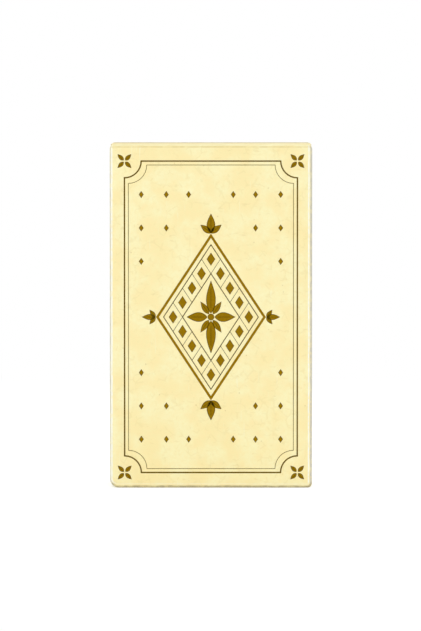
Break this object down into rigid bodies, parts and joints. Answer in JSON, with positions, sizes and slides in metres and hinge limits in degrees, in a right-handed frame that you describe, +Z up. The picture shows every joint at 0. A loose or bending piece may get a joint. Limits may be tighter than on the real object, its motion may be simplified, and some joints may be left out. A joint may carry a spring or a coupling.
{
  "type": "tarot card deck",
  "caption": "Tarot deck in an upright parchment-coloured paperboard tuck carton with folding lids and dust flaps, holding loose cards and a stapled guide booklet.",
  "frame": {"origin": "middle of the carton's footprint, on the surface it stands on", "axes": "+Z up along the carton's height, front panel towards -Y, +X to the right seen from the front"},
  "size_m": [0.0726, 0.0284, 0.123],
  "materials": {
    "parchment_board": "satin",
    "plain_board": "matte",
    "card_stock": "satin",
    "cover_paper": "matte",
    "page_paper": "matte",
    "staple_steel": "satin"
  },
  "bodies": {
    "carton": {"front_panel": "parchment_board", "back_panel": "parchment_board", "left_side_panel": "parchment_board", "right_side_panel": "parchment_board", "glue_flap": "plain_board"},
    "top_lid": {"top_closure_panel": "parchment_board"},
    "top_tuck": {"top_tuck_flap": "parchment_board"},
    "top_left_dust": {"top_left_dust_flap": "plain_board"},
    "top_right_dust": {"top_right_dust_flap": "plain_board"},
    "bottom_lid": {"bottom_closure_panel": "parchment_board"},
    "bottom_tuck": {"bottom_tuck_flap": "parchment_board"},
    "bottom_left_dust": {"bottom_left_dust_flap": "plain_board"},
    "bottom_right_dust": {"bottom_right_dust_flap": "plain_board"},
    "deck": {"card_fool": "card_stock", "card_magician": "card_stock", "card_high_priestess": "card_stock", "card_empress": "card_stock", "card_emperor": "card_stock", "card_hierophant": "card_stock", "card_lovers": "card_stock", "card_chariot": "card_stock", "card_strength": "card_stock", "card_hermit": "card_stock", "card_wheel_of_fortune": "card_stock", "card_justice": "card_stock", "card_hanged_man": "card_stock", "card_death": "card_stock", "card_temperance": "card_stock", "card_devil": "card_stock", "card_tower": "card_stock", "card_star": "card_stock", "card_moon": "card_stock", "card_sun": "card_stock", "card_judgement": "card_stock", "card_world": "card_stock", "wands_number_cards": "card_stock", "wands_page": "card_stock", "wands_knight": "card_stock", "wands_queen": "card_stock", "wands_king": "card_stock", "cups_number_cards": "card_stock", "cups_page": "card_stock", "cups_knight": "card_stock", "cups_queen": "card_stock", "cups_king": "card_stock", "swords_number_cards": "card_stock", "swords_page": "card_stock", "swords_knight": "card_stock", "swords_queen": "card_stock", "swords_king": "card_stock", "pentacles_number_cards": "card_stock", "pentacles_page": "card_stock", "pentacles_knight": "card_stock", "pentacles_queen": "card_stock", "pentacles_king": "card_stock", "guide_cover": "cover_paper", "guide_pages": "page_paper", "guide_staples": "staple_steel"}
  },
  "joints": [
    {"name": "top_lid_hinge", "type": "hinge", "parent": "carton", "child": "top_lid", "pos_m": [0, -0.01396, 0.1228], "axis": [1, 0, 0], "range_deg": [0, 175]},
    {"name": "top_tuck_fold", "type": "hinge", "parent": "top_lid", "child": "top_tuck", "pos_m": [0, 0.01327, 0.12265], "axis": [1, 0, 0], "range_deg": [-35, 0]},
    {"name": "top_left_dust_fold", "type": "hinge", "parent": "carton", "child": "top_left_dust", "pos_m": [-0.0361, 0, 0.1221], "axis": [0, -1, 0], "range_deg": [0, 105]},
    {"name": "top_right_dust_fold", "type": "hinge", "parent": "carton", "child": "top_right_dust", "pos_m": [0.0361, 0, 0.1221], "axis": [0, 1, 0], "range_deg": [0, 105]},
    {"name": "bottom_lid_hinge", "type": "hinge", "parent": "carton", "child": "bottom_lid", "pos_m": [0, -0.01396, 0.0002], "axis": [-1, 0, 0], "range_deg": [0, 175]},
    {"name": "bottom_tuck_fold", "type": "hinge", "parent": "bottom_lid", "child": "bottom_tuck", "pos_m": [0, 0.01327, 0.00035], "axis": [-1, 0, 0], "range_deg": [-35, 0]},
    {"name": "bottom_left_dust_fold", "type": "hinge", "parent": "carton", "child": "bottom_left_dust", "pos_m": [-0.0361, 0, 0.0009], "axis": [0, 1, 0], "range_deg": [0, 105]},
    {"name": "bottom_right_dust_fold", "type": "hinge", "parent": "carton", "child": "bottom_right_dust", "pos_m": [0.0361, 0, 0.0009], "axis": [0, -1, 0], "range_deg": [0, 105]},
    {"name": "deck_end_play", "type": "slide", "parent": "carton", "child": "deck", "axis": [0, 0, 1], "range_m": [0, 0.0005]}
  ],
  "couplings": [
    {"joint": "top_tuck_fold", "follows": "top_lid_hinge", "ratio": -0.2},
    {"joint": "top_left_dust_fold", "follows": "top_lid_hinge", "ratio": 0.6},
    {"joint": "top_right_dust_fold", "follows": "top_lid_hinge", "ratio": 0.6},
    {"joint": "bottom_tuck_fold", "follows": "bottom_lid_hinge", "ratio": -0.2},
    {"joint": "bottom_left_dust_fold", "follows": "bottom_lid_hinge", "ratio": 0.6},
    {"joint": "bottom_right_dust_fold", "follows": "bottom_lid_hinge", "ratio": 0.6}
  ]
}
